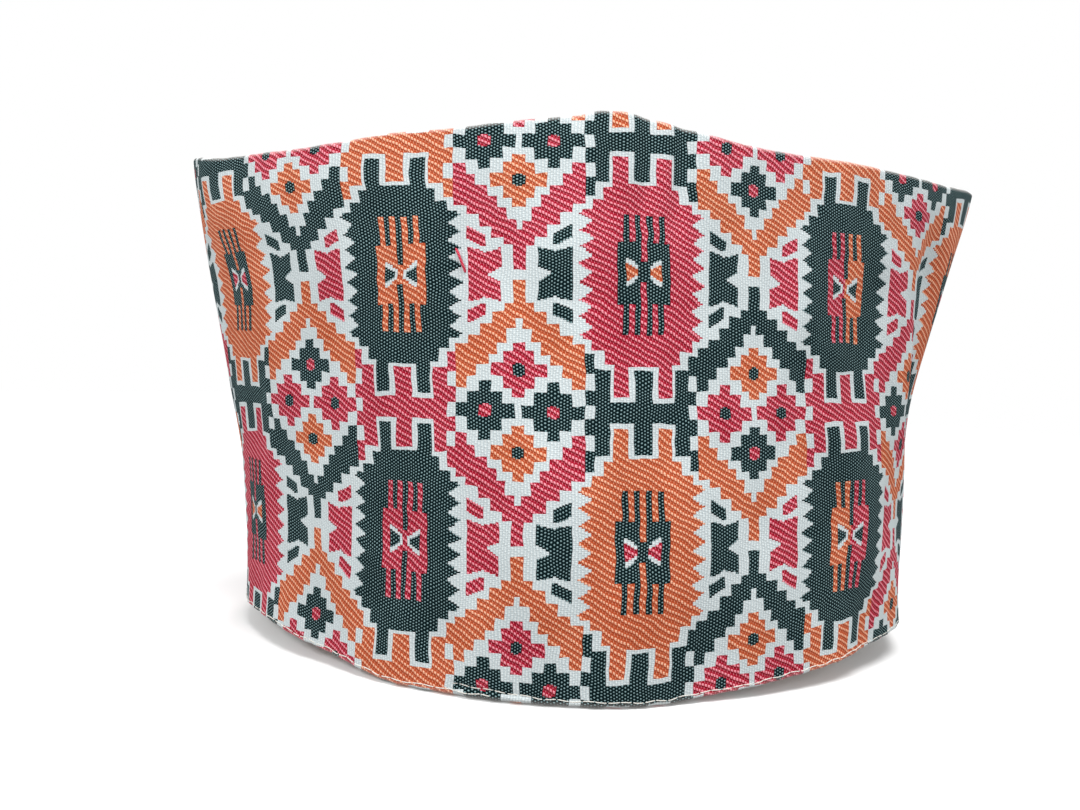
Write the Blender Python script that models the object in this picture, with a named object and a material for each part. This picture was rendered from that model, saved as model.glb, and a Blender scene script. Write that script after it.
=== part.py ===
# Dhaka topi: a tall woven band, oval at the rim and pointed lengthwise at the top,
# closed by a crown panel that is creased along its middle.
# Metres, +Z up. The front of the cap points along -X and the rim rests on Z = 0.

import math
from collections import namedtuple

import bmesh
import bpy

# Driving dimensions
WALL = 0.0018                # band cloth with its inner layers
CREASE_WALL_RATIO = 1.5      # the wall measured along X at the two creases, over WALL
EDGE_ROUNDING = 0.0006       # how far the top edge's fold drops to each face of the wall
CROWN_THICKNESS = 0.0016
CROWN_BELOW_EDGE = 0.0011    # seam line of the crown under the band's top edge
CROWN_VALLEY_DEPTH = 0.0125  # crease along the middle of the crown
CROWN_VALLEY_POWER = 1.3     # 1 is a straight fall to the crease
CROWN_REACH = 0.998          # share of the inner length that the crown fills
GAP = 0.0003                 # between the crown's edge and the band
WIDEST_X = -0.0039           # where the oval is widest
SIDE_SOFTNESS = 0.08         # rounds the widest place, as a share of the half length
FAR_FOLD_SHARE = 0.5         # folds of the far side, over those of the near side

# Mesh fineness
STATIONS = 128               # round the band
STATION_CROWDING = 0.6       # how much closer the stations stand at mid length, from 0 to 1
LEVELS = 13                  # up each face of the wall
CROWN_STEPS_LONG = STATIONS // 2  # so that its edge follows the band's facets
CROWN_STEPS_WIDE = 8

# Level sections of the band's outer face. The side powers shape the long sides before
# and behind the widest place, and the end powers make the two ends round (0.5) or
# pointed (towards 1).
Section = namedtuple(
    "Section", "height front back half_width front_side back_side front_end back_end"
)
SECTIONS = (
    Section(0.000, -0.0946, 0.0978, 0.0756, 1.42, 1.42, 0.52, 0.47),
    Section(0.020, -0.0950, 0.0978, 0.0758, 1.36, 1.38, 0.54, 0.50),
    Section(0.044, -0.0968, 0.0980, 0.0746, 1.32, 1.28, 0.55, 0.50),
    Section(0.066, -0.1015, 0.0996, 0.0716, 1.36, 1.20, 0.57, 0.48),
    Section(0.088, -0.1062, 0.1038, 0.0678, 1.46, 1.22, 0.58, 0.50),
    Section(0.110, -0.1105, 0.1098, 0.0638, 1.58, 1.40, 0.58, 0.60),
    Section(0.131, -0.1143, 0.1152, 0.0600, 1.68, 1.64, 0.66, 0.73),
    Section(0.138, -0.1148, 0.1165, 0.0580, 1.75, 1.80, 0.72, 0.80),
)

# Heights along the cap, from -1 at the front crease to +1 at the back crease
Level = namedtuple("Level", "along height")
RIM = (
    Level(-1.00, 0.0056),
    Level(-0.88, 0.0056),
    Level(-0.73, 0.0039),
    Level(-0.60, 0.0022),
    Level(-0.50, 0.0008),
    Level(-0.42, 0.0000),
    Level(0.22, 0.0000),
    Level(0.32, 0.0008),
    Level(0.43, 0.0019),
    Level(0.57, 0.0033),
    Level(0.72, 0.0049),
    Level(0.84, 0.0062),
    Level(1.00, 0.0076),
)
TOP_EDGE = (
    Level(-1.00, 0.1308),
    Level(-0.87, 0.1280),
    Level(-0.70, 0.1277),
    Level(-0.53, 0.1294),
    Level(-0.40, 0.1311),
    Level(-0.28, 0.1318),
    Level(-0.12, 0.1341),
    Level(-0.01, 0.1356),
    Level(0.04, 0.1371),
    Level(0.12, 0.1359),
    Level(0.20, 0.1341),
    Level(0.36, 0.1313),
    Level(0.57, 0.1308),
    Level(0.84, 0.1303),
    Level(1.00, 0.1312),
)

# Folds that run down the band, with their place at half height and how far they lean
# along it for each metre up. A negative depth is a dent.
Fold = namedtuple("Fold", "along lean width low high depth")
FOLDS = (
    Fold(0.040, 0.0, 0.120, 0.090, 0.160, 0.0016),    # bulge under the peak of the top edge
    Fold(0.045, 0.0, 0.020, 0.108, 0.160, -0.0011),   # three short grooves on the bulge
    Fold(0.128, 0.0, 0.020, 0.108, 0.160, -0.0015),
    Fold(0.200, 0.0, 0.020, 0.108, 0.160, -0.0014),
    Fold(0.924, -2.0, 0.055, 0.045, 0.126, -0.0042),  # pinched cloth beside the back crease
    Fold(0.700, 0.0, 0.090, 0.060, 0.110, -0.0010),
    Fold(-0.900, 0.0, 0.060, 0.040, 0.120, -0.0010),  # pinched cloth beside the front crease
    Fold(-0.520, 0.0, 0.030, 0.120, 0.160, -0.0006),
)

Finish = namedtuple("Finish", "name colour roughness")
BAND_CLOTH = Finish("woven_band_cloth", (0.42, 0.09, 0.10, 1.0), 0.85)
CROWN_CLOTH = Finish("woven_crown_cloth", (0.38, 0.11, 0.09, 1.0), 0.85)


# Smooth reading of a table, without overshoot between its rows
def read_table(rows, key, column, at):
    keys = [getattr(row, key) for row in rows]
    values = [getattr(row, column) for row in rows]
    if at <= keys[0]:
        return values[0]
    if at >= keys[-1]:
        return values[-1]
    slopes = [(v1 - v0) / (k1 - k0) for k0, k1, v0, v1 in zip(keys, keys[1:], values, values[1:])]
    low = max(index for index in range(len(slopes)) if keys[index] <= at)
    span = keys[low + 1] - keys[low]
    start = blend_slopes(slopes, low - 1)
    end = blend_slopes(slopes, low)
    t = (at - keys[low]) / span
    return (values[low] * (2 * t**3 - 3 * t**2 + 1)
            + values[low + 1] * (3 * t**2 - 2 * t**3)
            + span * start * (t**3 - 2 * t**2 + t)
            + span * end * (t**3 - t**2))


# Slope at the row between two stretches: their harmonic mean, or level at a turn
def blend_slopes(slopes, before):
    after = before + 1
    if before < 0:
        return slopes[after]
    if after >= len(slopes):
        return slopes[before]
    if slopes[before] * slopes[after] <= 0:
        return 0.0
    return 2 * slopes[before] * slopes[after] / (slopes[before] + slopes[after])


def smooth_step(t):
    t = min(1.0, max(0.0, t))
    return t * t * (3 - 2 * t)


def plan_point(along, height, inset):
    front = read_table(SECTIONS, "height", "front", height) + inset * CREASE_WALL_RATIO
    back = read_table(SECTIONS, "height", "back", height) - inset * CREASE_WALL_RATIO
    half_width = read_table(SECTIONS, "height", "half_width", height) - inset
    half = "front" if along < 0 else "back"
    side_power = read_table(SECTIONS, "height", half + "_side", height)
    end_power = read_table(SECTIONS, "height", half + "_end", height)
    reach = WIDEST_X - front if along < 0 else back - WIDEST_X
    share = math.hypot(along, SIDE_SOFTNESS) - SIDE_SOFTNESS
    share /= math.hypot(1.0, SIDE_SOFTNESS) - SIDE_SOFTNESS
    y = half_width * max(0.0, 1 - share**side_power) ** end_power
    return WIDEST_X + along * reach, y


# Sum of the folds at one place of the band, outwards positive
def fold_depth(along, height, side):
    depth = 0.0
    for fold in FOLDS:
        place = fold.along + fold.lean * (height - (fold.low + fold.high) / 2)
        across = math.exp(-((along - place) / fold.width) ** 2)
        fade = 0.3 * (fold.high - fold.low)
        down = smooth_step((height - fold.low) / fade) * smooth_step((fold.high - height) / fade)
        depth += fold.depth * across * down
    if side > 0:
        depth *= FAR_FOLD_SHARE
    return depth * (1 - abs(along) ** 40)


# A point of the wall, inset from the outer face. Side is -1 near and +1 far.
def wall_point(along, side, height, inset):
    x, y = plan_point(along, height, inset)
    depth = fold_depth(along, height, side)
    if depth:
        step = 0.002
        x0, y0 = plan_point(max(-1.0, along - step), height, inset)
        x1, y1 = plan_point(min(1.0, along + step), height, inset)
        length = math.hypot(x1 - x0, y1 - y0)
        x -= depth * (y1 - y0) / length
        y += depth * (x1 - x0) / length
    return x, side * y, height


def rim_height(along):
    return read_table(RIM, "along", "height", along)


def edge_height(along):
    return read_table(TOP_EDGE, "along", "height", along)


# Place along the cap for an even turn round it, from 0 at the front crease
def along_at(turn):
    return -math.cos(turn + STATION_CROWDING / 2 * math.sin(2 * turn))


# Stations run round the band from the front crease, near side first
def station_place(station):
    side = -1 if station <= STATIONS / 2 else 1
    return along_at(2 * math.pi * station / STATIONS), side


def face_ring(share, inset):
    def place(station):
        along, side = station_place(station)
        low = rim_height(along)
        high = edge_height(along) - EDGE_ROUNDING
        return wall_point(along, side, low + share * (high - low), inset)
    return place


def edge_ring(station):
    along, side = station_place(station)
    return wall_point(along, side, edge_height(along), WALL / 2)


def cloth_material(finish):
    material = bpy.data.materials.new(finish.name)
    material.use_nodes = True
    shader = material.node_tree.nodes["Principled BSDF"]
    shader.inputs["Base Color"].default_value = finish.colour
    shader.inputs["Roughness"].default_value = finish.roughness
    shader.inputs["Metallic"].default_value = 0.0
    return material


def add_object(name, bm, finish):
    bmesh.ops.recalc_face_normals(bm, faces=bm.faces)
    mesh = bpy.data.meshes.new(name)
    bm.to_mesh(mesh)
    bm.free()
    mesh.shade_smooth()
    mesh.set_sharp_from_angle(angle=math.radians(50))
    mesh.materials.append(cloth_material(finish))
    obj = bpy.data.objects.new(name, mesh)
    bpy.context.scene.collection.objects.link(obj)
    return obj


# The wall is one ring of edges, drawn up the outer face, over the top edge and
# down the inner face, and closed along the hem.
def make_side_band():
    bm = bmesh.new()
    station = bm.verts.layers.int.new("station")
    circle = bmesh.ops.create_circle(bm, segments=STATIONS, radius=1.0)
    for index, vert in enumerate(circle["verts"]):
        vert[station] = index
    shares = [level / LEVELS for level in range(LEVELS + 1)]
    outer = [face_ring(share, 0.0) for share in shares]
    inner = [face_ring(share, WALL) for share in reversed(shares)]
    rings = outer + [edge_ring] + inner
    for vert in bm.verts:
        vert.co = rings[0](vert[station])
    hem_edges = list(bm.edges)
    edges = hem_edges
    for ring in rings[1:]:
        drawn = bmesh.ops.extrude_edge_only(bm, edges=edges)["geom"]
        for vert in (item for item in drawn if isinstance(item, bmesh.types.BMVert)):
            vert.co = ring(vert[station])
        edges = [item for item in drawn if isinstance(item, bmesh.types.BMEdge) and item.is_boundary]
    bmesh.ops.bridge_loops(bm, edges=hem_edges + edges)
    return add_object("side_band", bm, BAND_CLOTH)


# A point of the crown panel. Long and wide run from -1 to 1, and drop is measured
# down from the panel's upper face.
def crown_point(long, wide, drop):
    along = CROWN_REACH * along_at((1 + long) * math.pi / 2)
    side = 1 if wide > 0 else -1
    height = edge_height(along) - CROWN_BELOW_EDGE - drop
    x, y, _ = wall_point(along, side, height, WALL + GAP)
    valley = CROWN_VALLEY_DEPTH * (1 - along**2) * (1 - abs(wide)) ** CROWN_VALLEY_POWER
    return x, abs(wide) * y, height - valley


def make_crown_top():
    bm = bmesh.new()
    long = bm.verts.layers.float.new("long")
    wide = bm.verts.layers.float.new("wide")
    bmesh.ops.create_grid(bm, x_segments=CROWN_STEPS_LONG, y_segments=CROWN_STEPS_WIDE, size=1.0)
    for vert in bm.verts:
        vert[long] = vert.co.x
        vert[wide] = vert.co.y
        vert.co = crown_point(vert[long], vert[wide], 0.0)
    drawn = bmesh.ops.extrude_face_region(bm, geom=list(bm.faces), use_keep_orig=True)["geom"]
    for vert in (item for item in drawn if isinstance(item, bmesh.types.BMVert)):
        vert.co = crown_point(vert[long], vert[wide], CROWN_THICKNESS)
    return add_object("crown_top", bm, CROWN_CLOTH)


def clear_scene():
    for obj in list(bpy.data.objects):
        bpy.data.objects.remove(obj, do_unlink=True)


clear_scene()
make_side_band()
make_crown_top()
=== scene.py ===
import math

import bmesh
import bpy
import numpy as np
from mathutils import Matrix, Vector


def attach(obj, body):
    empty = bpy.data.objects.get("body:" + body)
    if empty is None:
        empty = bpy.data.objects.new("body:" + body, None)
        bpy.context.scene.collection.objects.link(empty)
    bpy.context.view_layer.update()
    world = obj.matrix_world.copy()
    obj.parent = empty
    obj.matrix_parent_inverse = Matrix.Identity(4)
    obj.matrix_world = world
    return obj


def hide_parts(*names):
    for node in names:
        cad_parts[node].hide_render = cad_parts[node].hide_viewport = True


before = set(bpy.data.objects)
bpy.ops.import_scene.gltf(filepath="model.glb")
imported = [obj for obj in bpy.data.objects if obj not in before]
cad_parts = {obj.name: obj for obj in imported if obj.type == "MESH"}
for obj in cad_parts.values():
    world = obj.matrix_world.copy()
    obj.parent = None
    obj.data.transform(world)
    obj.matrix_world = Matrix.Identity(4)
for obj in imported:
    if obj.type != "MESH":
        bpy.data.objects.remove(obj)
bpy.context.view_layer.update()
scene = bpy.context.scene
print("frame loaded:", sorted(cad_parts))


# A woven cap. Metres, +Z up, the front crease points along -X and the rim lies on Z = 0.
# "along" runs from -1 at the front crease to +1 at the back crease, "side" is -1 near, +1 far.

bandValues = {
    "wall": 0.0018,              # cloth and its inner layers
    "creaseWallRatio": 1.5,
    "widestX": -0.0039,
    "sideSoftness": 0.08,
    "farFoldShare": 0.5,
    "columns": 640,              # mesh steps round the band
    "hemRows": 9,
    "faceRows": 72,
    "upperRows": 8,
    "foldRows": 8,
    "liningRows": 22,
    "turnedRows": 6,
    "hemInside": 0.012,          # cloth turned up inside the rim
    "hemZone": 0.03,             # share of the height with fine rows at the rim
    "upperZone": 0.97,
    "lengthLevels": 24,          # heights at which the length round the band is worked out
    "normalStep": 0.002,         # step along the wall that its direction is read from
    "creasePower": 40,           # folds and waves run out just before the sharp creases
    "foldFade": 0.3,             # share of a fold's height in which it runs out
    # height, front x, back x, half width, side powers and end powers of the front and back
    "sections": (
        (0.000, -0.0946, 0.0978, 0.0756, 1.42, 1.42, 0.52, 0.47),
        (0.020, -0.0950, 0.0978, 0.0758, 1.36, 1.38, 0.54, 0.50),
        (0.044, -0.0968, 0.0980, 0.0746, 1.32, 1.28, 0.55, 0.50),
        (0.066, -0.1015, 0.0996, 0.0716, 1.36, 1.20, 0.57, 0.48),
        (0.088, -0.1062, 0.1038, 0.0678, 1.46, 1.22, 0.58, 0.50),
        (0.110, -0.1105, 0.1098, 0.0638, 1.58, 1.40, 0.58, 0.60),
        (0.131, -0.1143, 0.1152, 0.0600, 1.68, 1.64, 0.66, 0.73),
        (0.138, -0.1148, 0.1165, 0.0580, 1.75, 1.80, 0.72, 0.80),
    ),
    # along, height of the rim
    "rim": (
        (-1.00, 0.0056), (-0.88, 0.0056), (-0.73, 0.0039), (-0.60, 0.0022), (-0.50, 0.0008),
        (-0.42, 0.0000), (0.22, 0.0000), (0.32, 0.0008), (0.43, 0.0019), (0.57, 0.0033),
        (0.72, 0.0049), (0.84, 0.0062), (1.00, 0.0076),
    ),
    # along, height of the top edge
    "topEdge": (
        (-1.00, 0.1308), (-0.87, 0.1280), (-0.70, 0.1277), (-0.53, 0.1294), (-0.40, 0.1311),
        (-0.28, 0.1318), (-0.12, 0.1341), (-0.01, 0.1356), (0.04, 0.1371), (0.12, 0.1359),
        (0.20, 0.1341), (0.36, 0.1313), (0.57, 0.1308), (0.84, 0.1303), (1.00, 0.1312),
    ),
    # along at half height, lean for each metre up, width, low, high, depth; a negative
    # depth is a dent
    "folds": (
        (0.040, 0.0, 0.120, 0.090, 0.160, 0.0016),
        (0.045, 0.0, 0.020, 0.104, 0.160, -0.0012),
        (0.128, 0.0, 0.020, 0.104, 0.160, -0.0016),
        (0.200, 0.0, 0.020, 0.104, 0.160, -0.0015),
        (0.940, -2.0, 0.048, 0.045, 0.126, -0.0046),
        (0.700, 0.0, 0.090, 0.060, 0.110, -0.0010),
        (-0.900, 0.0, 0.060, 0.040, 0.120, -0.0010),
        (-0.520, 0.0, 0.030, 0.120, 0.160, -0.0006),
    ),
    # soft waves of the cloth: length round the band, length up, size
    "waves": (
        (0.052, 0.090, 0.00045),
        (0.031, 0.061, 0.00030),
        (0.017, 0.043, 0.00016),
    ),
    "waveTurns": (1.7, 2.3, 9.0),            # radians from wave to wave, round and up, and slant
    "liningLift": 0.6,                       # share of the face's waves that the lining follows
    # puckers: length, reach from their edge, size, sway and how fast the sway goes round
    "seamPucker": (0.0085, 0.007, 0.00016, 1.4, 57.0),
    "hemPucker": (0.0062, 0.005, 0.00014, 1.9, 43.0),
    "hemRoll": (0.0010, 0.0007, 0.00030),    # height above the rim, width, size
    "stitchGroove": (0.00045, -0.00028),     # width, size
    "backSeam": (0.0009, 0.0012),            # width and depth of its groove
}

# The hem's topstitching starts high, and its end runs under that start
stitchValues = {
    "height": 0.0012,            # above the rim
    "startAlong": -0.28,
    "startLine": ((-0.28, 0.0027), (-0.12, 0.0020), (0.02, 0.0013), (1.0, 0.0012)),
    "overlap": 0.10,             # radians that the end runs on under the start
    "steps": 2400,
    "pitch": 0.0029,
    "thread": 0.00026,
    "proud": 0.3,                # shares of the thread that it stands out and dips in
    "dip": 0.9,
    "dipLength": 0.12,           # share of a stitch
    "wander": 0.00014,
    "wanderTurns": (2.4, 0.7),   # radians of the thread's two slow waves to one stitch
    "slowWander": 0.6,
    "outwardStep": 0.001,        # lift that the direction off the face is read from
}


# Smooth reading of a table, without overshoot between its rows
def readTable(rows, column, at):
    keys = np.array([row[0] for row in rows])
    values = np.array([row[column] for row in rows])
    slopes = np.diff(values) / np.diff(keys)
    product = slopes[:-1] * slopes[1:]
    total = np.where(product > 0, slopes[:-1] + slopes[1:], 1.0)
    turns = np.where(product > 0, 2 * product / total, 0.0)
    tangents = np.concatenate([slopes[:1], turns, slopes[-1:]])
    at = np.clip(at, keys[0], keys[-1])
    low = np.clip(np.searchsorted(keys, at, side="right") - 1, 0, len(slopes) - 1)
    span = keys[low + 1] - keys[low]
    t = (at - keys[low]) / span
    return (
        values[low] * (2 * t**3 - 3 * t**2 + 1)
        + values[low + 1] * (3 * t**2 - 2 * t**3)
        + span * tangents[low] * (t**3 - 2 * t**2 + t)
        + span * tangents[low + 1] * (t**3 - t**2)
    )


def smoothStep(t):
    t = np.clip(t, 0.0, 1.0)
    return t * t * (3 - 2 * t)


def planPoint(along, height, inset):
    b = bandValues
    front = readTable(b["sections"], 1, height) + inset * b["creaseWallRatio"]
    back = readTable(b["sections"], 2, height) - inset * b["creaseWallRatio"]
    halfWidth = readTable(b["sections"], 3, height) - inset
    isFront = along < 0
    sidePower = np.where(isFront, *(readTable(b["sections"], column, height) for column in (4, 5)))
    endPower = np.where(isFront, *(readTable(b["sections"], column, height) for column in (6, 7)))
    reach = np.where(isFront, b["widestX"] - front, back - b["widestX"])
    soft = b["sideSoftness"]
    share = (np.hypot(along, soft) - soft) / (math.hypot(1.0, soft) - soft)
    y = halfWidth * np.maximum(0.0, 1 - share**sidePower) ** endPower
    return b["widestX"] + along * reach, y


# Share of a fold or wave that is left at a place: they run out before the sharp creases
def creaseFade(along):
    return 1 - np.abs(along) ** bandValues["creasePower"]


def foldDepth(along, height, side):
    b = bandValues
    depth = 0.0
    for middle, lean, width, low, high, size in b["folds"]:
        fade = b["foldFade"] * (high - low)
        down = smoothStep((height - low) / fade) * smoothStep((high - height) / fade)
        place = middle + lean * (height - (low + high) / 2)
        depth = depth + size * np.exp(-(((along - place) / width) ** 2)) * down
    depth = np.where(side > 0, depth * b["farFoldShare"], depth)
    return depth * creaseFade(along)


# A point of the wall, inset from the outer face and moved out by "lift"
def wallPoint(along, side, height, inset, lift=0.0):
    x, y = planPoint(along, height, inset)
    step = bandValues["normalStep"]
    x0, y0 = planPoint(np.maximum(-1.0, along - step), height, inset)
    x1, y1 = planPoint(np.minimum(1.0, along + step), height, inset)
    length = np.hypot(x1 - x0, y1 - y0)
    out = foldDepth(along, height, side) + lift * creaseFade(along)
    x = x - out * (y1 - y0) / length
    y = y + out * (x1 - x0) / length
    return np.stack([x, side * y, height + 0 * x], axis=-1)


def rimHeight(along):
    return readTable(bandValues["rim"], 1, along)


def edgeHeight(along):
    return readTable(bandValues["topEdge"], 1, along)


# Columns run from the back crease along the near side to the front crease, then back
# along the far side, so that the cloth's own seam is at the back.
def columnPlaces(count):
    turn = 2 * np.pi * np.arange(count + 1) / count
    return np.cos(turn), np.where(turn <= np.pi, -1.0, 1.0)


# Length round the band from the middle of the near side, positive towards the back
def roundLength(along, side, heights):
    table = []
    middle = int(np.argmin(np.abs(along[: len(along) // 2])))
    for height in heights:
        line = wallPoint(along, side, height + 0 * along, 0.0)
        strides = np.hypot(np.diff(line[:, 0]), np.diff(line[:, 1]))
        run = np.concatenate([[0.0], np.cumsum(strides)])
        table.append(run[middle] - run)
    return np.array(table)


# Waves, puckers, the rolled hem and the groove that its stitches pull, as lift of the face
def clothLift(around, height, low, high, along, side):
    b = bandValues
    roundTurn, upTurn, slant = b["waveTurns"]
    lift = 0.0
    for index, (across, up, size) in enumerate(b["waves"]):
        swing = np.sin(around * 2 * np.pi / across + roundTurn * index + slant * height)
        lift = lift + size * swing * np.cos(height * 2 * np.pi / up + upTurn * index)
    for pucker, distance in ((b["seamPucker"], high - height), (b["hemPucker"], height - low)):
        length, reach, size, sway, swayRate = pucker
        beat = np.sin(around * 2 * np.pi / length + sway * np.sin(around * swayRate))
        lift = lift + size * beat * np.exp(-distance / reach)
    above = height - low
    place, width, size = b["hemRoll"]
    lift = lift + size * np.exp(-(((above - place) / width) ** 2))
    width, size = b["stitchGroove"]
    return lift + size * np.exp(-(((above - stitchHeight(along, side)) / width) ** 2))


def stitchHeight(along, side):
    s = stitchValues
    first = readTable(s["startLine"], 1, along)
    return np.where((side < 0) & (along > s["startAlong"]), first, s["height"])


# The weave is drawn in motif steps: 100 across from one lozenge column to the next and
# 100 down from one bar row to the next.
motifSteps = 100
uvSteps = 100.0                  # motif steps to one unit of the UV map "cloth"
clothValues = {
    "across": 0.000578,          # metres to one step across
    "down": 0.000626,
    "middleColumn": 172.45,      # the step at the middle of the near side
    "lean": 0.000022,            # metres that the columns lean for each step down
    "leanRow": 100,
    "firstRow": 0.12927,         # height of row 0 at bowCentre
    "rowTilt": 0.0214,           # rows rise towards the back
    "rowBow": -0.088,            # and bow down towards both ends
    "bowCentre": 0.0079,
    # local pulls of the cloth: column, row, reach across, reach down, shift across, shift down
    "pulls": (
        (320.0, 140.0, 44.0, 50.0, 10.0, 0.0),
        (45.0, 5.0, 65.0, 28.0, -7.3, -0.9),
        (-12.0, 5.0, 28.0, 30.0, -6.0, 0.0),
        (-22.0, 5.0, 16.0, 24.0, -6.5, 0.0),
        (236.0, 5.0, 34.0, 28.0, 2.0, 0.0),
        (0.0, 55.0, 25.0, 20.0, 7.0, -0.6),
        (0.0, 115.0, 25.0, 45.0, -5.7, -1.4),
        (50.0, 150.0, 25.0, 30.0, 3.3, -2.0),
        (205.0, 200.0, 40.0, 22.0, -1.7, 2.0),
        (200.0, 45.0, 30.0, 25.0, 0.3, -1.9),
        (350.0, 0.0, 35.0, 20.0, 0.0, 2.4),
    ),
}


def clothPlace(point, around):
    c = clothValues
    offset = point[..., 0] - c["bowCentre"]
    flat = c["firstRow"] + c["rowTilt"] * offset + c["rowBow"] * offset**2
    row = (flat - point[..., 2]) / c["down"]
    column = c["middleColumn"] + (around - c["lean"] * (row - c["leanRow"])) / c["across"]
    pullAcross = 0.0
    pullDown = 0.0
    for atColumn, atRow, wide, tall, across, down in c["pulls"]:
        near = np.exp(-(((column - atColumn) / wide) ** 2) - ((row - atRow) / tall) ** 2)
        pullAcross = pullAcross + across * near
        pullDown = pullDown + down * near
    return np.stack([column - pullAcross, row - pullDown], axis=-1)


# The wall's profile, from the bottom of the rim fold up the outer face, over the top fold
# and down the lining. Each row: its kind, its inset from the outer face, and its share of
# the height or its rise from the edge.
def bandRows():
    b = bandValues
    half = b["wall"] / 2
    rows = []
    for step in range(b["foldRows"] // 2):
        angle = math.pi / 2 * (1 - step / (b["foldRows"] // 2))
        rows.append(("rim", half - half * math.cos(angle), half - half * math.sin(angle)))
    low = np.linspace(0.0, b["hemZone"], b["hemRows"] + 1)
    face = np.linspace(b["hemZone"], b["upperZone"], b["faceRows"] + 1)[1:]
    upper = np.linspace(b["upperZone"], 1.0, b["upperRows"] + 1)[1:]
    shares = np.concatenate([low, face, upper])
    rows += [("outer", 0.0, share) for share in shares]
    for step in range(1, b["foldRows"]):
        angle = math.pi * step / b["foldRows"]
        rows.append(("top", half - half * math.cos(angle), -half + half * math.sin(angle)))
    hemShare = b["hemInside"] / b["topEdge"][0][1]
    upTo = np.linspace(1.0, hemShare, b["liningRows"] + 1)
    hem = np.linspace(hemShare, 0.0, b["turnedRows"] + 1)[1:]
    rows += [("inner", b["wall"], share) for share in np.concatenate([upTo, hem])]
    for step in range(1, b["foldRows"] // 2 + 1):
        angle = math.pi / 2 * step / (b["foldRows"] // 2)
        rows.append(("rim", half + half * math.cos(angle), half - half * math.sin(angle)))
    return rows


mergeDistance = 1e-6
farFromEdges = (9.0, 9.0)        # centimetres, for pieces that get neither wear nor a painted highlight at an edge
centimetres = 100                # to one metre


# A sheet or tube bent from a flat grid: places and maps hold one row for each grid row,
# and the rows in liningRows get the second material
def makeGridPiece(name, places, maps, materials, edges=None, liningRows=range(0)):
    rows, columns = places.shape[:2]
    bm = bmesh.new()
    uvLayer = bm.loops.layers.uv.new("cloth")
    edgeLayer = bm.loops.layers.uv.new("edges")
    bmesh.ops.create_grid(bm, x_segments=columns - 1, y_segments=rows - 1, size=1.0)
    spots = {}
    for vert in bm.verts:
        column = round((vert.co.x + 1) / 2 * (columns - 1))
        row = round((vert.co.y + 1) / 2 * (rows - 1))
        spots[vert] = (row, column)
    for face in bm.faces:
        firstRow = min(spots[vert][0] for vert in face.verts)
        face.material_index = 1 if firstRow in liningRows else 0
        for loop in face.loops:
            loop[uvLayer].uv = maps[spots[loop.vert]]
            loop[edgeLayer].uv = farFromEdges if edges is None else edges[spots[loop.vert]]
    for vert in bm.verts:
        vert.co = places[spots[vert]]
    bmesh.ops.remove_doubles(bm, verts=bm.verts, dist=mergeDistance)
    bmesh.ops.holes_fill(bm, edges=bm.edges, sides=0)     # the crown cloth's two narrow ends
    bmesh.ops.recalc_face_normals(bm, faces=bm.faces)
    return finishPiece(name, bm, materials)


def finishPiece(name, bm, materials):
    mesh = bpy.data.meshes.new(name)
    bm.to_mesh(mesh)
    bm.free()
    mesh.shade_smooth()
    for material in materials:
        mesh.materials.append(material)
    piece = bpy.data.objects.new(name, mesh)
    scene.collection.objects.link(piece)
    return piece


# The band's rows, with the place, the motif step and the distance from both edges of each
# of their points
def bandSurface():
    b = bandValues
    half = b["wall"] / 2
    along, side = columnPlaces(b["columns"])
    low = rimHeight(along)
    high = edgeHeight(along)
    levels = np.linspace(0.0, b["sections"][-1][0], b["lengthLevels"])
    lengths = roundLength(along, side, levels)
    seamWidth, seamDepth = b["backSeam"]
    rows = bandRows()
    places = []
    maps = []
    edges = []
    for kind, inset, share in rows:
        if kind == "outer" or kind == "inner":
            height = low + half + share * (high - low - 2 * half)
        elif kind == "rim":
            height = low + share
        else:
            height = high + share
        at = np.clip(height, levels[0], levels[-1])
        around = np.array([np.interp(at[i], levels, lengths[:, i]) for i in range(len(at))])
        lift = clothLift(around, height, low, high, along, side)
        if kind == "inner":
            lift = lift * b["liningLift"]
        point = wallPoint(along, side, height, inset, lift)
        if kind != "inner":
            fromSeam = np.minimum(np.abs(around - around[0]), np.abs(around - around[-1]))
            point[:, 0] -= seamDepth * np.exp(-((fromSeam / seamWidth) ** 2))
        places.append(point)
        maps.append(clothPlace(point, around))
        edges.append(np.stack([height - low, high - height], axis=-1) * centimetres)
    return rows, np.array(places), np.array(maps), np.array(edges)


# Past the outer face the cloth goes on over the folds, so its rows follow the distance
def carryCloth(rows, places, maps):
    outer = [index for index, row in enumerate(rows) if row[0] == "outer"]
    first, last = outer[0], outer[-1]
    down = clothValues["down"]
    for index in range(last + 1, len(rows)):
        run = np.linalg.norm(places[index] - places[index - 1], axis=-1)
        maps[index, :, 0] = maps[last, :, 0]
        maps[index, :, 1] = maps[index - 1, :, 1] - run / down
    for index in range(first - 1, -1, -1):
        run = np.linalg.norm(places[index + 1] - places[index], axis=-1)
        maps[index, :, 0] = maps[first, :, 0]
        maps[index, :, 1] = maps[index + 1, :, 1] + run / down
    # the turned hem carries on from the rim fold
    inner = [index for index, row in enumerate(rows) if row[0] == "inner"]
    hemTop = inner[-bandValues["turnedRows"] - 1]
    maps[-1] = maps[0]
    for index in range(len(rows) - 2, hemTop - 1, -1):
        run = np.linalg.norm(places[index + 1] - places[index], axis=-1)
        maps[index, :, 0] = maps[first, :, 0]
        maps[index, :, 1] = maps[index + 1, :, 1] + run / down
    return inner[0], hemTop


def makeBand(surface, materials):
    rows, places, maps, edges = surface
    seamRow, hemRow = carryCloth(rows, places, maps)
    return makeGridPiece(
        "bandCloth", places, maps / uvSteps, materials, edges, range(seamRow, hemRow)
    )


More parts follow.
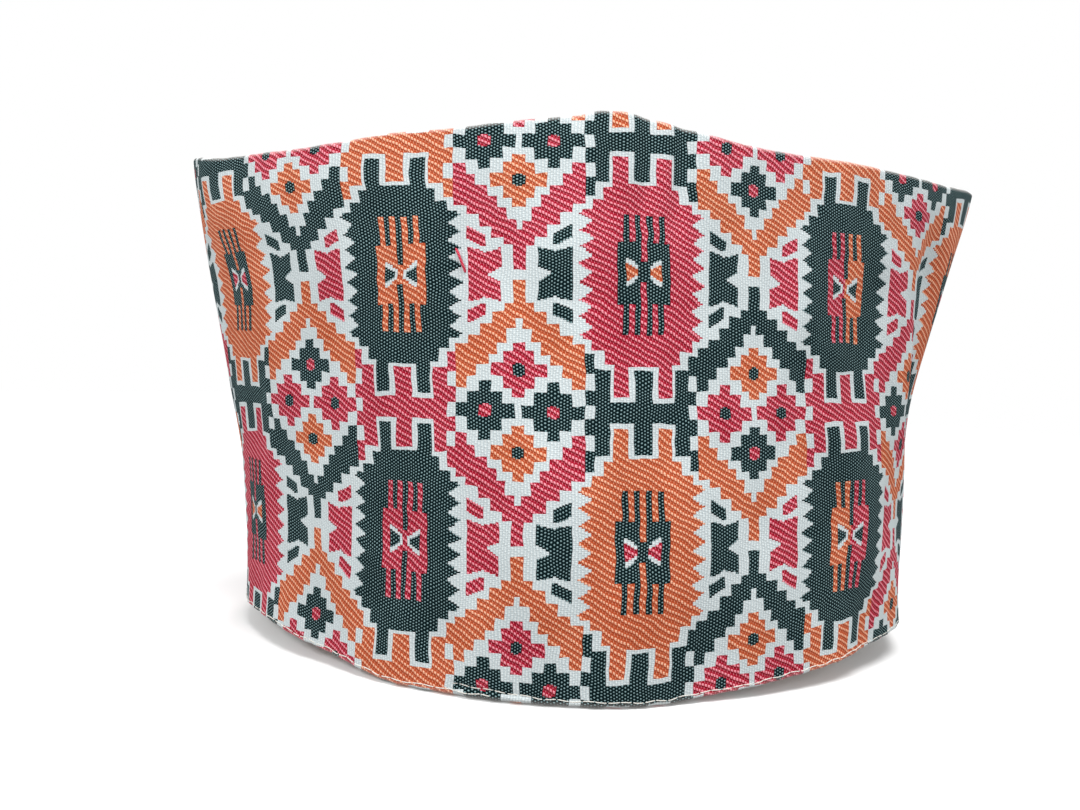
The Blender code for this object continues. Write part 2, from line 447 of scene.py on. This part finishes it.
crownValues = {
    "belowEdge": 0.0008,
    "valleyDepth": 0.0125,
    "valleyPower": 1.3,
    "creaseSoftness": 0.05,
    "reach": 0.998,              # share of the way to the front and back points
    "gap": 0.0001,               # between the panel and the wall
    "thickness": 0.0014,
    "stepsLong": 200,
    "stepsWide": 88,
    "middleColumn": 150.0,
    "middleRow": 100.0,
}


def crownPoint(long, wide, drop):
    c = crownValues
    along = c["reach"] * np.sin(long * np.pi / 2)
    side = np.where(wide > 0, 1.0, -1.0)
    height = edgeHeight(along) - c["belowEdge"] - drop
    rimPoint = wallPoint(along, side, height, bandValues["wall"] + c["gap"])
    soft = c["creaseSoftness"]
    share = (np.hypot(wide, soft) - soft) / (math.hypot(1.0, soft) - soft)
    valley = c["valleyDepth"] * (1 - along**2) * (1 - share) ** c["valleyPower"]
    return np.stack(
        [rimPoint[..., 0], np.abs(wide) * rimPoint[..., 1], rimPoint[..., 2] - valley], axis=-1
    )


def makeCrown(materials):
    c = crownValues
    long = np.linspace(-1, 1, c["stepsLong"] + 1)[None, :]
    wide = np.linspace(-1, 1, c["stepsWide"] + 1)[:, None]
    long, wide = np.broadcast_arrays(long, wide)
    top = crownPoint(long, wide, 0.0)
    under = crownPoint(long, wide, c["thickness"])
    run = np.linalg.norm(np.diff(top, axis=0), axis=-1)
    reach = np.concatenate([np.zeros((1, run.shape[1])), np.cumsum(run, axis=0)])
    reach = reach - reach[c["stepsWide"] // 2]
    column = c["middleColumn"] + top[..., 0] / clothValues["across"]
    row = c["middleRow"] + reach / clothValues["down"]
    maps = np.stack([column, row], axis=-1) / uvSteps
    places = np.concatenate([top, under[::-1], top[:1]])
    maps = np.concatenate([maps, maps[::-1], maps[:1]])
    underRows = range(c["stepsWide"], len(places))
    return makeGridPiece("crownCloth", places, maps, materials, liningRows=underRows)


# A number that shader nodes work out, written with ordinary signs
class Number:
    def __init__(self, tree, socket):
        self.tree = tree
        self.socket = socket

    def __add__(self, other):
        return work("ADD", self, other)

    def __radd__(self, other):
        return work("ADD", self, other)

    def __sub__(self, other):
        return work("SUBTRACT", self, other)

    def __rsub__(self, other):
        return work("SUBTRACT", other, self)

    def __mul__(self, other):
        return work("MULTIPLY", self, other)

    def __rmul__(self, other):
        return work("MULTIPLY", self, other)

    def __truediv__(self, other):
        return work("DIVIDE", self, other)

    def __lt__(self, other):
        return work("LESS_THAN", self, other)

    def __gt__(self, other):
        return work("GREATER_THAN", self, other)

    def __mod__(self, other):
        return work("FLOORED_MODULO", self, other)

    def __or__(self, other):
        return work("MAXIMUM", self, other)

    def __abs__(self):
        return work("ABSOLUTE", self)


def work(operation, *values):
    tree = next(value.tree for value in values if isinstance(value, Number))
    node = tree.nodes.new("ShaderNodeMath")
    node.operation = operation
    for socket, value in zip(node.inputs, values):
        if isinstance(value, Number):
            tree.links.new(value.socket, socket)
        else:
            socket.default_value = value
    return Number(tree, node.outputs[0])


def between(value, low, high):
    return work("COMPARE", value, (low + high) / 2, (high - low) / 2)


def within(value, low, high):
    return (value > low) * (value < high)


# A stepped outline: "first" up to the first edge, then each step's own value
def steps(value, first, *edges):
    result = first
    last = first
    for edge, size in edges:
        result = work("MULTIPLY_ADD", value > edge, size - last, result)
        last = size
    return result


# The ink of the first, second, third and fourth column in turn
def inkOfFour(quarter, inks):
    changes = []
    for index in range(1, len(inks)):
        if inks[index] != inks[index - 1]:
            changes.append((index - 0.5, inks[index]))
    return steps(quarter, inks[0], *changes)


def colourIs(ink, number):
    return work("COMPARE", ink, number, 0.5)


# Ink numbers of the chart, where 0 is white
inkBlack = 1
inkRed = 2
inkOrange = 3


# The woven pattern: a lozenge with legs over and under every bar, a star between four
# lozenges, and a group of four small diamonds where four stars meet. All in motif steps:
# widths count across from a motif's middle, and rows from the bar unless noted.
chartValues = {
    "shoulders": ((17.8, 16.6), (22.2, 21.0)),    # row, half width from there on
    "toothFrom": 26.5,
    "toothRoot": 20.8,
    "toothTip": 26.3,
    "toothPitch": 6.4,
    "legs": (6.1, 12.4),
    "legRows": (5.5, 18.0),
    "neckWidth": 7.0,
    "neckRows": (16.3, 18.0),
    # the emblem, with rows counted from the lozenge's middle
    "emblemStripes": ((1.2, 3.7), (6.2, 8.7)),
    "stripeRows": (11.5, 22.0),
    "emblemBlock": 10.8,
    "centreLine": (1.2, 3.6),                     # half width, first row
    "bow": (1.5, 7.6),
    "bowSlope": 0.62,
    "bowOutline": 1.8,
    "bowWaist": (0.7, 1.2),                       # least width, and more in the third of four columns
    # bars
    "stub": (4.2, 15.0),                          # half width, rows
    "bar": (14.3, 3.8),
    "posts": (14.3, 19.5),
    "postRows": 15.7,
    "checks": (19.5, 24.3),
    "checkRows": ((2.8, 8.0), (13.5, 21.2)),
    # bands round the star: first half width, then row and half width from there on
    "bandOuter": (
        0.0, (2.0, 2.5), (10.5, 6.1), (14.0, 11.3), (18.0, 16.7), (22.5, 21.0), (25.5, 25.8),
        (42.0, 0.0),
    ),
    "bandInner": (
        -1.0, (16.0, 1.6), (20.2, 5.3), (25.0, 9.0), (29.4, 13.0), (33.3, 17.0), (37.6, 21.0),
    ),
    # arrows beside the star, with rows counted from its middle
    "arrows": (7.3, 21.0),
    "arrowArms": (14, 0.3, 8.3),                  # middle, slope, height
    "arrowTip": (13.5, 0.516),                    # start, slope
    "strips": (13.3, 21.0),
    "stripLow": (10.0, 3.0),                      # row at the near end, and its rise
    "stripHigh": (14.3, 4.1),
    # diamonds over and under the bar's line, and to both sides: middle, steps, dot
    "tallMiddle": 15.0,
    "tallDiamond": (11.2, (2.6, 6.0), (6.8, 2.5), (10.3, 0.0)),
    "wideMiddle": 13.8,
    "wideDiamond": (12.8, (2.6, 7.6), (6.8, 2.7), (10.4, 0.0)),
    "dotSize": 2.5,
    # inks of four columns in turn
    "overInks": (inkBlack, inkRed, inkOrange, inkOrange),
    "underInks": (inkOrange, inkOrange, inkBlack, inkRed),
    "sideInks": (inkRed, inkBlack, inkRed, inkBlack),
}


def chartInk(u, v):
    c = chartValues
    half = motifSteps / 2
    column = work("ROUND", u / motifSteps)
    fromColumn = u - column * motifSteps
    star = work("FLOOR", u / motifSteps)
    row = work("FLOOR", v / motifSteps)
    fromStar = v - row * motifSteps - half
    barRow = work("ROUND", v / motifSteps)
    fromBar = v - barRow * motifSteps
    lx = abs(fromColumn)                          # across from the lozenge's middle
    sx = abs(u - star * motifSteps - half)        # across from the star's middle
    dv = abs(fromStar)                            # down from the middle of both
    by = half - dv                                # down from the bar
    quarter = star % 4
    oddColumn = column % 2
    oddRow = row % 2
    rightHalf = fromColumn > 0

    # lozenges
    tooth = work("PINGPONG", dv, c["toothPitch"] / 2) / (c["toothPitch"] / 2)
    toothed = tooth * (c["toothTip"] - c["toothRoot"]) + c["toothRoot"]
    shoulders = steps(by, 0.0, *c["shoulders"])
    outline = shoulders + (by > c["toothFrom"]) * (toothed - c["shoulders"][-1][1])
    legs = between(lx, *c["legs"]) * within(by, *c["legRows"])
    neck = (lx < c["neckWidth"]) * within(by, *c["neckRows"])
    lozenge = (lx < outline) | legs | neck
    alternate = (column * 0.5 + row) % 2
    lozengeInk = oddColumn + (1 - oddColumn) * (inkOrange - alternate)
    ink = lozenge * lozengeInk

    # the emblem in each lozenge
    stripes = between(lx, *c["emblemStripes"][0]) | between(lx, *c["emblemStripes"][1])
    stripes = stripes * between(dv, *c["stripeRows"])
    lineWidth, lineFrom = c["centreLine"]
    centreLine = (lx < lineWidth) * (dv > lineFrom)
    block = (lx < c["emblemBlock"]) * (dv < c["stripeRows"][0]) * (1 - centreLine)
    emblem = stripes | block
    fourthColumn = (column % 4) > 2.5
    oddEmblem = inkOrange - oddRow + fourthColumn * (1 - rightHalf) * (2 * oddRow - 1)
    emblemInk = inkBlack + oddColumn * (oddEmblem - inkBlack)
    ink = ink + emblem * (emblemInk - ink)
    bowStart, bowEnd = c["bow"]
    slope = (lx - bowStart) * c["bowSlope"]
    waist = c["bowWaist"][0] + c["bowWaist"][1] * colourIs(column % 4, 2)
    cross = (lx < bowEnd) * (lx > waist) * (dv < slope + c["bowOutline"])
    bow = between(lx, bowStart, bowEnd) * (dv < slope)
    bowInk = oddColumn + (1 - oddColumn) * (inkRed + inkOrange - lozengeInk)
    ink = ink * (1 - cross) + bow * bowInk

    # bars with their check columns
    stub = (lx < c["stub"][0]) * (by < c["stub"][1])
    bar = (by < c["bar"][1]) * (lx < c["bar"][0])
    posts = between(lx, *c["posts"]) * (by < c["postRows"])
    lowCheck, highCheck = c["checkRows"]
    check = between(lx, *c["checks"]) * (between(by, *lowCheck) | between(by, *highCheck))
    barInk = inkBlack + oddColumn * (2 - barRow % 2)
    bars = stub | bar | posts | check
    ink = ink + bars * barInk * (1 - lozenge)

    # bands over and under each star
    bands = (sx < steps(dv, *c["bandOuter"])) * (sx > steps(dv, *c["bandInner"]))
    overInk = inkOfFour(quarter, c["overInks"])
    underInk = inkOfFour(quarter, c["underInks"])
    bandInk = overInk + (fromStar > 0) * (underInk - overInk)
    ink = ink + bands * bandInk

    # arrows beside each star, and the slanted strips behind them
    armMiddle, armSlope, armHeight = c["arrowArms"]
    armEdge = abs(sx - armMiddle) * armSlope + armHeight
    tipStart, tipSlope = c["arrowTip"]
    tip = work("MAXIMUM", (tipStart - sx) * tipSlope, 0.0)
    arrows = between(sx, *c["arrows"]) * (dv < armEdge) * (dv > tip)
    stripStart, stripEnd = c["strips"]
    climb = (sx - stripStart) / (stripEnd - stripStart)
    over = dv > climb * c["stripLow"][1] + c["stripLow"][0]
    under = dv < climb * c["stripHigh"][1] + c["stripHigh"][0]
    strips = between(sx, stripStart, stripEnd) * over * under
    ink = ink + (arrows | strips) * (inkBlack + oddColumn)

    # four diamonds round each meeting point
    tall = by - c["tallMiddle"]
    wide = abs(sx - c["wideMiddle"])
    tallDiamond = sx < steps(abs(tall), *c["tallDiamond"])
    wideDiamond = wide < steps(by, *c["wideDiamond"])
    tallInk = overInk + (fromBar > 0) * (underInk - overInk)
    sideInk = inkOfFour(quarter, c["sideInks"])
    tallDot = (sx * sx + tall * tall) < c["dotSize"] ** 2
    wideDot = (wide * wide + by * by) < c["dotSize"] ** 2
    tallInk = tallInk + tallDot * (inkBlack + colourIs(tallInk, inkBlack) - tallInk)
    sideInk = sideInk + wideDot * (inkBlack + colourIs(sideInk, inkBlack) - sideInk)
    return ink + tallDiamond * tallInk + wideDiamond * sideInk


weaveValues = {
    "columnPitch": 1.25,         # motif steps to one warp yarn
    "pickPitch": 0.625,          # motif steps to one weft yarn
    "white": (0.70, 0.75, 0.75),
    "whiteRib": (0.50, 0.57, 0.59),
    "whiteShares": (0.7, 0.6),   # of the ribs and the dots that show in the white
    "black": (0.002, 0.010, 0.012),
    "blackFleck": (0.23, 0.35, 0.36),
    "red": (0.38, 0.002, 0.022),
    "redShade": (0.15, 0.001, 0.006),
    "redFleck": (0.90, 0.33, 0.39),
    "orange": (0.49, 0.075, 0.022),
    "orangeShade": (0.30, 0.045, 0.015),
    "orangeFleck": (0.92, 0.50, 0.33),
    # pale colour of the real wear at the rim, also used for the painted highlight on the top edge
    "wearAndPaintedHighlight": (0.82, 0.76, 0.73),
    "rimWear": (0.12, 0.32),     # reach in centimetres, strength
    # painted highlight along the top edge's fold, as if lit from above: reach in centimetres,
    # strength
    "paintedTopHighlight": (0.11, 0.42),
    "paintedTopSheen": 0.55,              # painted sheen: how much brighter the flecks grow towards the top edge
    "paintedSheenReach": 4.5,          # reach of that painted sheen, in centimetres
    "wander": 2.0,               # motif steps that the yarns stray
    "wanderNoise": (12.0, 1.0),  # scale, detail
    "mottle": (90.0, 4.0),       # scale and detail of the patches of dye and wear
    "mottleBase": 0.55,
    "dye": (0.85, 0.30),         # least strength of the dye, and what the patches add
    "cellShow": (0.75, 0.5),     # least show of one yarn crossing, and what chance adds
    "strokeRepeat": 4,           # picks from one line of strokes to the next
    "strokeRound": (1.15, 5.6),  # how fast a stroke ends across its line and along it
    "strokeSoftness": 0.04,
    "strokeShow": 1.45,
    "strokeDots": 0.08,          # faint dots between the strokes
    "dotRound": (9.0, 3.6),
    "dotSoftness": 0.15,
    "dotShow": 1.5,
    "shade": (3.3, 1.1),         # picks past a line of strokes, and how fast its shade ends
    "relief": (0.5, 0.25, 0.3),  # shares of the warp ribs, the picks and the flecks
    "yarnHeight": 0.00016,
    "roughness": 0.9,
    "sheen": 0.01,
}
finishValues = {
    "specular": 0.04,            # cloth hardly shines
    "sheenRoughness": 0.5,
    "bumpStrength": 0.8,
}


def mixColour(tree, factor, first, second):
    node = tree.nodes.new("ShaderNodeMix")
    node.data_type = "RGBA"
    tree.links.new(factor.socket, node.inputs[0])
    for slot, value in ((node.inputs[6], first), (node.inputs[7], second)):
        if isinstance(value, tuple):
            slot.default_value = (*value, 1.0)
        else:
            tree.links.new(value, slot)
    return node.outputs[2]


def newMaterial(name, roughness, sheen):
    material = bpy.data.materials.new(name)
    material.use_nodes = True
    tree = material.node_tree
    shader = tree.nodes["Principled BSDF"]
    shader.inputs["Roughness"].default_value = roughness
    shader.inputs["Specular IOR Level"].default_value = finishValues["specular"]
    shader.inputs["Sheen Weight"].default_value = sheen
    shader.inputs["Sheen Roughness"].default_value = finishValues["sheenRoughness"]
    return material, tree, shader


def addBump(tree, shader, height, distance):
    bump = tree.nodes.new("ShaderNodeBump")
    bump.inputs["Distance"].default_value = distance
    bump.inputs["Strength"].default_value = finishValues["bumpStrength"]
    tree.links.new(height.socket, bump.inputs["Height"])
    tree.links.new(bump.outputs["Normal"], shader.inputs["Normal"])


# A vector's first two parts
def splitPlace(tree, place):
    split = tree.nodes.new("ShaderNodeSeparateXYZ")
    tree.links.new(place, split.inputs[0])
    return Number(tree, split.outputs[0]), Number(tree, split.outputs[1])


def readMap(tree, name):
    uvMap = tree.nodes.new("ShaderNodeUVMap")
    uvMap.uv_map = name
    return uvMap.outputs["UV"]


def addNoise(tree, place, scale, detail=2.0):
    noise = tree.nodes.new("ShaderNodeTexNoise")
    noise.inputs["Scale"].default_value = scale
    noise.inputs["Detail"].default_value = detail
    tree.links.new(place, noise.inputs["Vector"])
    return noise


def objectPlace(tree):
    return tree.nodes.new("ShaderNodeTexCoord").outputs["Object"]


def makeClothMaterial():
    w = weaveValues
    material, tree, shader = newMaterial("wovenCloth", w["roughness"], w["sheen"])
    clothMap = readMap(tree, "cloth")
    wander = addNoise(tree, clothMap, *w["wanderNoise"])
    mapAcross, mapDown = splitPlace(tree, clothMap)
    strayAcross, strayDown = splitPlace(tree, wander.outputs["Color"])
    u = mapAcross * uvSteps + (strayAcross - 0.5) * w["wander"]
    v = mapDown * uvSteps + (strayDown - 0.5) * w["wander"]

    # the yarn cell and the place in it
    yarn = work("FLOOR", u / w["columnPitch"])
    pick = work("FLOOR", v / w["pickPitch"])
    x = u / w["columnPitch"] - yarn - 0.5
    y = v / w["pickPitch"] - pick - 0.5
    ink = chartInk((yarn + 0.5) * w["columnPitch"], (pick + 0.5) * w["pickPitch"])
    fromRim, fromTop = splitPlace(tree, readMap(tree, "edges"))
    mottle = Number(tree, addNoise(tree, objectPlace(tree), *w["mottle"]).outputs["Fac"])

    # where the warp shows between the coloured picks: in slanting lines of strokes on the
    # red and orange, and in dots on the black
    repeat = w["strokeRepeat"]
    slide = v / w["pickPitch"] - u / w["columnPitch"] + repeat / 2
    fromLine = abs(slide % repeat - repeat / 2)
    lineRound, yarnRound = w["strokeRound"]
    bead = 1 - x * x * yarnRound
    stroke = (1 - fromLine * fromLine * lineRound) * bead
    stroke = work("SMOOTH_MAX", stroke, 0.0, w["strokeSoftness"])
    plain = colourIs((pick + yarn) % 2, 0)
    acrossRound, downRound = w["dotRound"]
    dot = 1 - x * x * acrossRound - y * y * downRound
    dot = work("SMOOTH_MAX", dot, 0.0, w["dotSoftness"])
    cell = tree.nodes.new("ShaderNodeCombineXYZ")
    tree.links.new(yarn.socket, cell.inputs[0])
    tree.links.new(pick.socket, cell.inputs[1])
    chance = tree.nodes.new("ShaderNodeTexWhiteNoise")
    chance.noise_dimensions = "2D"
    tree.links.new(cell.outputs[0], chance.inputs["Vector"])
    cellLeast, cellMore = w["cellShow"]
    # painted sheen: the flecks brighten towards the top edge, as if washed by light from above; the
    # random show of each crossing and the patches are real unevenness
    paintedTopSheen = work("MAXIMUM", 1 - fromTop / w["paintedSheenReach"], 0.0) * w["paintedTopSheen"]
    fleckStrength = Number(tree, chance.outputs["Value"]) * cellMore + cellLeast
    fleckStrength = fleckStrength * (mottle + w["mottleBase"] + paintedTopSheen)
    fleckStroke = (stroke * w["strokeShow"] + plain * dot * w["strokeDots"]) * fleckStrength
    fleckStroke = work("MINIMUM", fleckStroke, 1.0)
    fleckDot = work("MINIMUM", plain * dot * w["dotShow"] * fleckStrength, 1.0)
    rib = 1 - abs(x) * 2
    ribShare, dotShare = w["whiteShares"]
    whiteShow = work("MINIMUM", rib * ribShare + plain * dot * dotShare, 1.0)
    white = mixColour(tree, whiteShow, w["whiteRib"], w["white"])
    black = mixColour(tree, fleckDot, w["black"], w["blackFleck"])
    # the picks just under a line of strokes lie in its shade
    shadeAt, shadeEnd = w["shade"]
    shade = work("MAXIMUM", 1 - abs(slide % repeat - shadeAt) * shadeEnd, 0.0)
    red = mixColour(tree, shade, w["red"], w["redShade"])
    red = mixColour(tree, fleckStroke, red, w["redFleck"])
    orange = mixColour(tree, shade, w["orange"], w["orangeShade"])
    orange = mixColour(tree, fleckStroke, orange, w["orangeFleck"])
    colour = mixColour(tree, colourIs(ink, inkBlack), white, black)
    colour = mixColour(tree, colourIs(ink, inkRed), colour, red)
    colour = mixColour(tree, colourIs(ink, inkOrange), colour, orange)

    # the cloth wears pale along the rim; along the top edge a pale painted highlight stands for the
    # light that its fold catches
    rimReach, rimStrength = w["rimWear"]
    topReach, topStrength = w["paintedTopHighlight"]
    rimWear = (1 - fromRim / rimReach) * rimStrength
    # painted highlight: paler towards the top edge, as if its fold were lit from above
    paintedTopHighlight = (1 - fromTop / topReach) * topStrength
    colour = mixColour(tree, work("MAXIMUM", rimWear | paintedTopHighlight, 0.0), colour, w["wearAndPaintedHighlight"])

    dyeLeast, dyeMore = w["dye"]
    patch = mottle * dyeMore + dyeLeast
    dye = tree.nodes.new("ShaderNodeVectorMath")
    dye.operation = "SCALE"
    tree.links.new(colour, dye.inputs[0])
    tree.links.new(patch.socket, dye.inputs["Scale"])
    tree.links.new(dye.outputs[0], shader.inputs["Base Color"])

    ribRelief, pickRelief, fleckRelief = w["relief"]
    height = rib * ribRelief + (1 - abs(y) * 2) * pickRelief
    height = height + (fleckStroke + fleckDot) * fleckRelief
    addBump(tree, shader, height, w["yarnHeight"])
    return material


liningValues = {
    "colour": (0.62, 0.60, 0.55),
    "thread": (0.74, 0.73, 0.69),
    "threadShare": 0.6,          # of the threads in the colour, and the rest by soft patches
    "patchScale": 60.0,
    "pitch": 0.0005,
    "threadHeight": 0.00012,
    "roughness": 0.9,
    "sheen": 0.1,
}


def makeLiningMaterial():
    c = liningValues
    material, tree, shader = newMaterial("plainCotton", c["roughness"], c["sheen"])
    mapAcross, mapDown = splitPlace(tree, readMap(tree, "cloth"))
    u = mapAcross * (uvSteps * clothValues["across"] / c["pitch"])
    v = mapDown * (uvSteps * clothValues["down"] / c["pitch"])
    acrossYarn = work("PINGPONG", u, 0.5) * 2
    downYarn = work("PINGPONG", v, 0.5) * 2
    over = colourIs((work("FLOOR", u) + work("FLOOR", v)) % 2, 0)
    height = acrossYarn * over + downYarn * (1 - over)
    patches = Number(tree, addNoise(tree, objectPlace(tree), c["patchScale"]).outputs["Fac"])
    factor = height * c["threadShare"] + patches * (1 - c["threadShare"])
    tree.links.new(mixColour(tree, factor, c["colour"], c["thread"]), shader.inputs["Base Color"])
    addBump(tree, shader, height, c["threadHeight"])
    return material


threadValues = {
    # colour between the thread's twists, and on them
    "pale": ((0.58, 0.56, 0.51), (0.80, 0.78, 0.73)),
    "red": ((0.42, 0.006, 0.03), (0.70, 0.09, 0.14)),
    "twistScale": 900.0,
    "twistHeight": 0.00005,
    "roughness": 0.7,
    "sheen": 0.2,
    "sides": 8,
}


def makeThreadMaterial(name, colour, light):
    t = threadValues
    material, tree, shader = newMaterial(name, t["roughness"], t["sheen"])
    wave = tree.nodes.new("ShaderNodeTexWave")
    wave.inputs["Scale"].default_value = t["twistScale"]
    wave.bands_direction = "DIAGONAL"
    tree.links.new(objectPlace(tree), wave.inputs["Vector"])
    twist = Number(tree, wave.outputs["Fac"])
    tree.links.new(mixColour(tree, twist, colour, light), shader.inputs["Base Color"])
    addBump(tree, shader, twist, t["twistHeight"])
    return material


# A round thread along a line of points, with both ends drawn to a point
def makeThread(name, line, outward, thread, material):
    tangent = np.gradient(line, axis=0)
    tangent = tangent / np.linalg.norm(tangent, axis=1, keepdims=True)
    across = np.cross(tangent, outward)
    across = across / np.linalg.norm(across, axis=1, keepdims=True)
    upward = np.cross(across, tangent)
    radius = np.full((len(line), 1), thread / 2)
    radius[[0, -1]] = 0.0
    angles = np.linspace(0, 2 * np.pi, threadValues["sides"] + 1)
    places = [line + radius * (np.cos(a) * across + np.sin(a) * upward) for a in angles]
    places = np.array(places)
    maps = np.zeros((*places.shape[:2], 2))
    return makeGridPiece(name, places, maps, [material])


# The hem's thread runs on the face and dips in at the end of each stitch
def makeHemThread(material):
    s = stitchValues
    start = math.acos(s["startAlong"])
    turn = np.linspace(start, start - 2 * np.pi - s["overlap"], s["steps"])
    along = np.cos(turn)
    side = np.where(np.mod(turn, 2 * np.pi) <= np.pi, -1.0, 1.0)
    first = readTable(s["startLine"], 1, along)
    low = rimHeight(along)
    height = low + np.where(turn > 0, first, s["height"])
    placeAlong, placeSide = columnPlaces(bandValues["columns"])
    lengths = roundLength(placeAlong, placeSide, [0.0])[0]
    placeTurn = np.linspace(0.0, 2 * np.pi, len(lengths))
    around = np.interp(np.mod(turn, 2 * np.pi), placeTurn, lengths)
    lift = clothLift(around, height, low, edgeHeight(along), along, side)
    line = wallPoint(along, side, height, 0.0, lift)
    outward = wallPoint(along, side, height, -s["outwardStep"])
    outward = outward - wallPoint(along, side, height, 0.0)
    outward = outward / np.linalg.norm(outward, axis=1, keepdims=True)
    strides = np.linalg.norm(np.diff(line, axis=0), axis=1)
    beat = np.concatenate([[0.0], np.cumsum(strides)]) / s["pitch"]
    dips = np.exp(-(((beat % 1 - 0.5) / s["dipLength"]) ** 2))
    out = s["thread"] * (s["proud"] - s["dip"] * dips)
    quick, slow = s["wanderTurns"]
    line = line + out[:, None] * outward
    line[:, 2] += s["wander"] * (np.sin(beat * quick) + s["slowWander"] * np.sin(beat * slow))
    return makeThread("hemThread", line, outward, s["thread"], material)


# A loose end of red yarn on the near side
looseValues = {
    # column and row of the cloth, and height over it
    "points": (
        (123.9, 40.2, -0.0004), (124.9, 42.2, 0.0004), (126.1, 45.0, 0.0006),
        (127.2, 47.6, 0.0004), (127.9, 49.4, -0.0002),
    ),
    "thread": 0.00062,
    "steps": 40,
    "fitPoints": 8,              # points of the face that its place on the cloth is read from
}


# The point of the outer face that carries the cloth's column and row
def onCloth(places, maps, column, row):
    miss = np.hypot(maps[..., 0] - column, maps[..., 1] - row)
    near = np.argsort(miss, axis=None)[: looseValues["fitPoints"]]
    known = np.column_stack([np.ones(len(near)), maps.reshape(-1, 2)[near]])
    fit = np.linalg.lstsq(known, places.reshape(-1, 3)[near], rcond=None)[0]
    return np.array([1.0, column, row]) @ fit


def makeLooseThread(surface, material):
    places, maps = surface[1:3]
    points = []
    for column, row, over in looseValues["points"]:
        points.append(onCloth(places, maps, column, row) + np.array([0.0, -over, 0.0]))
    points = np.array(points)
    at = np.linspace(0, len(points) - 1, looseValues["steps"])
    keys = np.arange(len(points))
    line = np.column_stack(
        [readTable(list(zip(keys, points[:, axis])), 1, at) for axis in range(3)]
    )
    outward = np.tile(np.array([0.0, -1.0, 0.0]), (len(line), 1))
    return makeThread("looseThread", line, outward, looseValues["thread"], material)


floorValues = {
    "radius": 1.2,
    "sides": 96,
    "fadeStart": 0.35,           # the floor fades into the background from here
    "fadeEnd": 1.1,
    "fadeSoftness": 0.3,
    "drop": 0.0004,
    "colour": (0.90, 0.90, 0.90),
    "paler": 1.02,
    "patchScale": 3.0,
    "roughness": 0.9,
}


def makeFloor():
    f = floorValues
    material, tree, shader = newMaterial("paleFloor", f["roughness"], 0.0)
    place = objectPlace(tree)
    patches = Number(tree, addNoise(tree, place, f["patchScale"]).outputs["Fac"])
    paler = tuple(channel * f["paler"] for channel in f["colour"])
    tree.links.new(mixColour(tree, patches, f["colour"], paler), shader.inputs["Base Color"])
    reach = tree.nodes.new("ShaderNodeVectorMath")
    reach.operation = "LENGTH"
    tree.links.new(place, reach.inputs[0])
    inside = (f["fadeEnd"] - Number(tree, reach.outputs["Value"])) / (f["fadeEnd"] - f["fadeStart"])
    cover = work("SMOOTH_MIN", work("MAXIMUM", inside, 0.0), 1.0, f["fadeSoftness"])
    tree.links.new(cover.socket, shader.inputs["Alpha"])
    bm = bmesh.new()
    bmesh.ops.create_circle(bm, cap_ends=True, segments=f["sides"], radius=f["radius"])
    bmesh.ops.translate(bm, verts=bm.verts, vec=(0, 0, -f["drop"]))
    floor = finishPiece("floor", bm, [material])
    # the floor throws little light back up at the cap
    floor.visible_diffuse = False


lightValues = {
    "background": 1.0,           # as the camera sees it
    "ambient": 0.55,             # as it lights the cap
    "aim": (0, 0, 0.07),
    # place, size, power
    "key": ((-1.00, -0.90, 1.05), 0.5, 14.0),
    "fill": ((1.25, -0.80, 0.85), 0.9, 6.5),
    "top": ((0.15, -0.35, 1.5), 0.8, 17.0),
    "rear": ((0.2, 1.3, 1.0), 0.8, 9.0),
}


def makeLight(name, place, size, power):
    data = bpy.data.lights.new(name, "AREA")
    data.shape = "DISK"
    data.size = size
    data.energy = power
    lamp = bpy.data.objects.new(name, data)
    lamp.location = place
    aim = Vector(lightValues["aim"]) - Vector(place)
    lamp.rotation_euler = aim.to_track_quat("-Z", "Y").to_euler()
    scene.collection.objects.link(lamp)


def makeLights():
    lights = lightValues
    world = bpy.data.worlds.new("studio")
    scene.world = world
    world.use_nodes = True
    tree = world.node_tree
    background = tree.nodes["Background"]
    background.inputs["Color"].default_value = (1.0, 1.0, 1.0, 1.0)
    seen = Number(tree, tree.nodes.new("ShaderNodeLightPath").outputs["Is Camera Ray"])
    strength = seen * (lights["background"] - lights["ambient"]) + lights["ambient"]
    tree.links.new(strength.socket, background.inputs["Strength"])
    for name in ("key", "fill", "top", "rear"):
        makeLight(name, *lights[name])
    scene.view_settings.view_transform = "Standard"


cameraValues = {
    "place": (-0.0172, -0.2914, 0.0815),
    "focalPixels": 976.67,       # focal length over the size of a pixel
    "frameWide": 1080,
    "sensor": 36.0,
    "turn": 0.0238,              # radians to the right
    "tilt": -0.0620,             # radians up
    "roll": 0.0436,
    "clip": (0.01, 50.0),
}


def makeCamera():
    c = cameraValues
    data = bpy.data.cameras.new("camera")
    data.sensor_width = c["sensor"]
    data.lens = c["focalPixels"] / c["frameWide"] * c["sensor"]
    data.clip_start, data.clip_end = c["clip"]
    camera = bpy.data.objects.new("camera", data)
    turn = Matrix.Rotation(-c["turn"], 4, "Z")
    tilt = Matrix.Rotation(math.pi / 2 + c["tilt"], 4, "X")
    roll = Matrix.Rotation(c["roll"], 4, "Z")
    camera.matrix_world = Matrix.Translation(c["place"]) @ turn @ tilt @ roll
    scene.collection.objects.link(camera)
    scene.camera = camera


makeCamera()
makeLights()
makeFloor()
print("camera, lights and floor made")
cloth = makeClothMaterial()
lining = makeLiningMaterial()
print("materials made:", len(cloth.node_tree.nodes), "nodes in the woven cloth")
surface = bandSurface()
band = makeBand(surface, [cloth, lining])
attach(band, "root")
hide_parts("side_band")
crown = makeCrown([cloth, lining])
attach(crown, "root")
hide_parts("crown_top")
print("band and crown made:", len(band.data.polygons), len(crown.data.polygons), "faces")
paleThread = makeThreadMaterial("paleThread", *threadValues["pale"])
redThread = makeThreadMaterial("redThread", *threadValues["red"])
for piece in (makeHemThread(paleThread), makeLooseThread(surface, redThread)):
    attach(piece, "root")
print("threads made")
